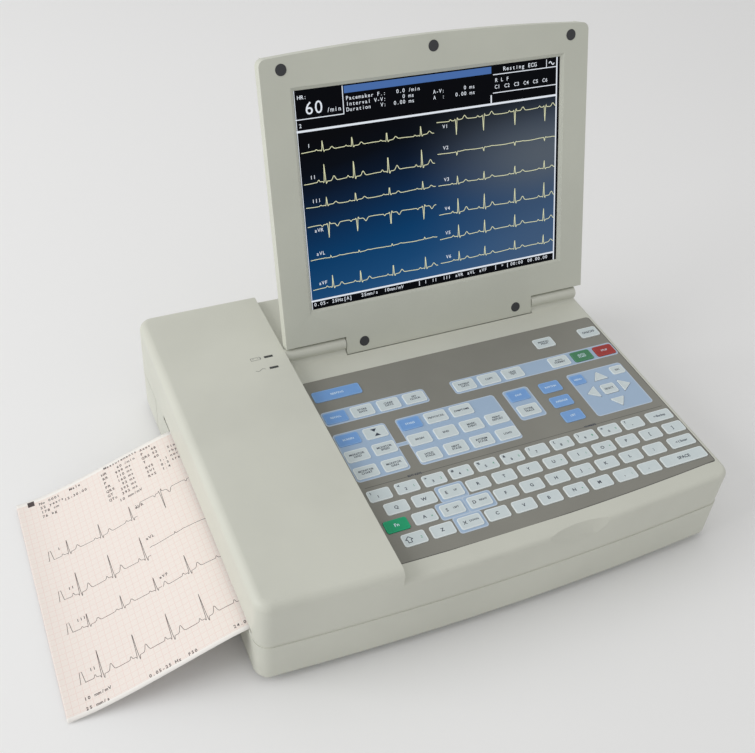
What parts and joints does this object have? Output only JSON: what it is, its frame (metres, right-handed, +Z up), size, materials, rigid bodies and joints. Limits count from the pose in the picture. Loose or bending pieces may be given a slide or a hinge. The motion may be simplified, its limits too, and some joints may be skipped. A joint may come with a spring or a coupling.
{
  "type": "electrocardiograph",
  "caption": "Console electrocardiograph: flip-up screen, sloping membrane keyboard and a raised recorder section whose side drawer feeds chart paper.",
  "frame": {"origin": "on the table, under the middle of the console's plan", "axes": "+X to the user's right, +Y to the rear, +Z up"},
  "size_m": [0.536, 0.344, 0.3277],
  "materials": {
    "housing": "fine moulded texture, light warm grey",
    "keyboard_sheet": "printed membrane",
    "key_white": "printed membrane",
    "key_blue": "printed membrane",
    "key_green": "printed membrane",
    "key_red": "printed membrane",
    "key_fn": "printed membrane",
    "dark_plastic": "moulded",
    "window": "smoked",
    "feet": "moulded rubber",
    "platen": "ground rubber",
    "steel": "zinc plated",
    "aluminium": "extruded",
    "heater": "glazed ceramic strip",
    "board": "solder mask",
    "battery": "sleeved pack",
    "gear": "acetal",
    "brass": "turned",
    "tray": "moulded",
    "paper": "heat-sensitive chart paper",
    "screen": "lit display",
    "motor": "motor can"
  },
  "bodies": {
    "console": {"lower_housing": "housing", "upper_housing": "housing", "keypad_overlay": "keyboard_sheet", "function_keys": "key_white", "letter_keys": "key_white", "label_keys": "key_blue", "keypad_board": "board", "status_windows": "window", "rubber_feet": "feet", "housing_screws": "steel", "battery_pack": "battery", "battery_cover": "housing", "main_board": "board", "power_board": "board", "mains_inlet": "dark_plastic", "equipotential_pin": "steel", "patient_socket": "steel", "data_socket": "steel", "speaker": "dark_plastic", "drive_motor": "motor", "motor_plate": "steel", "drawer_rails": "steel", "head_bracket": "steel", "head_springs": "steel", "hinge_pins": "steel"},
    "lid": {"lid_bezel": "housing", "lid_cover": "housing", "screen": "screen", "lcd_module": "aluminium", "lid_board": "board", "lid_plugs": "dark_plastic", "lid_screws": "steel", "hinge_leaves": "steel"},
    "paper_drawer": {"drawer_front": "housing", "drawer_tray": "tray", "paper_pack": "paper", "paper_sheet": "paper", "platen_bushes": "brass"},
    "platen": {"platen_shaft": "steel", "platen_rubber": "platen", "platen_gear": "gear"},
    "idler": {"idler_gear": "gear"},
    "pinion": {"motor_pinion": "brass"},
    "head": {"print_head": "aluminium", "heater_strip": "heater"},
    "fuse_drawer": {"fuse_drawer": "dark_plastic"},
    "power_key": {"power_key": "key_white"},
    "start_key": {"start_key": "key_green"},
    "stop_key": {"stop_key": "key_red"},
    "fn_key": {"fn_key": "key_fn"},
    "up_key": {"up_key": "key_white"},
    "down_key": {"down_key": "key_white"},
    "left_key": {"left_key": "key_white"},
    "right_key": {"right_key": "key_white"},
    "select_key": {"select_key": "key_white"},
    "manual_key": {"manual_key": "key_white"},
    "space_key": {"space_key": "key_white"},
    "enter_key": {"enter_key": "key_white"}
  },
  "joints": [
    {"name": "lid_hinge", "type": "hinge", "parent": "console", "child": "lid", "pos_m": [0, 0.08304, 0.08869], "axis": [1, 0, 0], "range_deg": [-22, 108.7]},
    {"name": "drawer_slide", "type": "slide", "parent": "console", "child": "paper_drawer", "axis": [-1, 0, 0], "range_m": [0, 0.15]},
    {"name": "platen_turn", "type": "hinge", "parent": "paper_drawer", "child": "platen", "pos_m": [-0.181, 0, 0.036], "axis": [0, 1, 0], "continuous": true},
    {"name": "idler_turn", "type": "hinge", "parent": "console", "child": "idler", "pos_m": [-0.157, 0, 0.036], "axis": [0, 1, 0], "continuous": true},
    {"name": "pinion_turn", "type": "hinge", "parent": "console", "child": "pinion", "pos_m": [-0.13586, 0, 0.02831], "axis": [0, 1, 0], "continuous": true},
    {"name": "head_lift", "type": "hinge", "parent": "console", "child": "head", "pos_m": [-0.165, 0, 0.0541], "axis": [0, 1, 0], "range_deg": [0, 4], "stiffness_Nm_per_rad": 2, "springref_deg": -2.86, "deforming": ["head_springs"]},
    {"name": "fuse_slide", "type": "slide", "parent": "console", "child": "fuse_drawer", "axis": [0, 1, 0], "range_m": [0, 0.016]},
    {"name": "power_key_press", "type": "slide", "parent": "console", "child": "power_key", "axis": [0, 0.0209, -0.9998], "range_m": [0, 0.0004], "stiffness_N_per_m": 2000},
    {"name": "start_key_press", "type": "slide", "parent": "console", "child": "start_key", "axis": [0, 0.0209, -0.9998], "range_m": [0, 0.0004], "stiffness_N_per_m": 2000},
    {"name": "stop_key_press", "type": "slide", "parent": "console", "child": "stop_key", "axis": [0, 0.0209, -0.9998], "range_m": [0, 0.0004], "stiffness_N_per_m": 2000},
    {"name": "fn_key_press", "type": "slide", "parent": "console", "child": "fn_key", "axis": [0, 0.0209, -0.9998], "range_m": [0, 0.0004], "stiffness_N_per_m": 2000},
    {"name": "up_key_press", "type": "slide", "parent": "console", "child": "up_key", "axis": [0, 0.0209, -0.9998], "range_m": [0, 0.0004], "stiffness_N_per_m": 2000},
    {"name": "down_key_press", "type": "slide", "parent": "console", "child": "down_key", "axis": [0, 0.0209, -0.9998], "range_m": [0, 0.0004], "stiffness_N_per_m": 2000},
    {"name": "left_key_press", "type": "slide", "parent": "console", "child": "left_key", "axis": [0, 0.0209, -0.9998], "range_m": [0, 0.0004], "stiffness_N_per_m": 2000},
    {"name": "right_key_press", "type": "slide", "parent": "console", "child": "right_key", "axis": [0, 0.0209, -0.9998], "range_m": [0, 0.0004], "stiffness_N_per_m": 2000},
    {"name": "select_key_press", "type": "slide", "parent": "console", "child": "select_key", "axis": [0, 0.0209, -0.9998], "range_m": [0, 0.0004], "stiffness_N_per_m": 2000},
    {"name": "manual_key_press", "type": "slide", "parent": "console", "child": "manual_key", "axis": [0, 0.0209, -0.9998], "range_m": [0, 0.0004], "stiffness_N_per_m": 2000},
    {"name": "space_key_press", "type": "slide", "parent": "console", "child": "space_key", "axis": [0, 0.0209, -0.9998], "range_m": [0, 0.0004], "stiffness_N_per_m": 2000},
    {"name": "enter_key_press", "type": "slide", "parent": "console", "child": "enter_key", "axis": [0, 0.0209, -0.9998], "range_m": [0, 0.0004], "stiffness_N_per_m": 2000}
  ],
  "couplings": [
    {"joint": "idler_turn", "follows": "platen_turn", "ratio": -0.6},
    {"joint": "pinion_turn", "follows": "platen_turn", "ratio": 1.2}
  ]
}
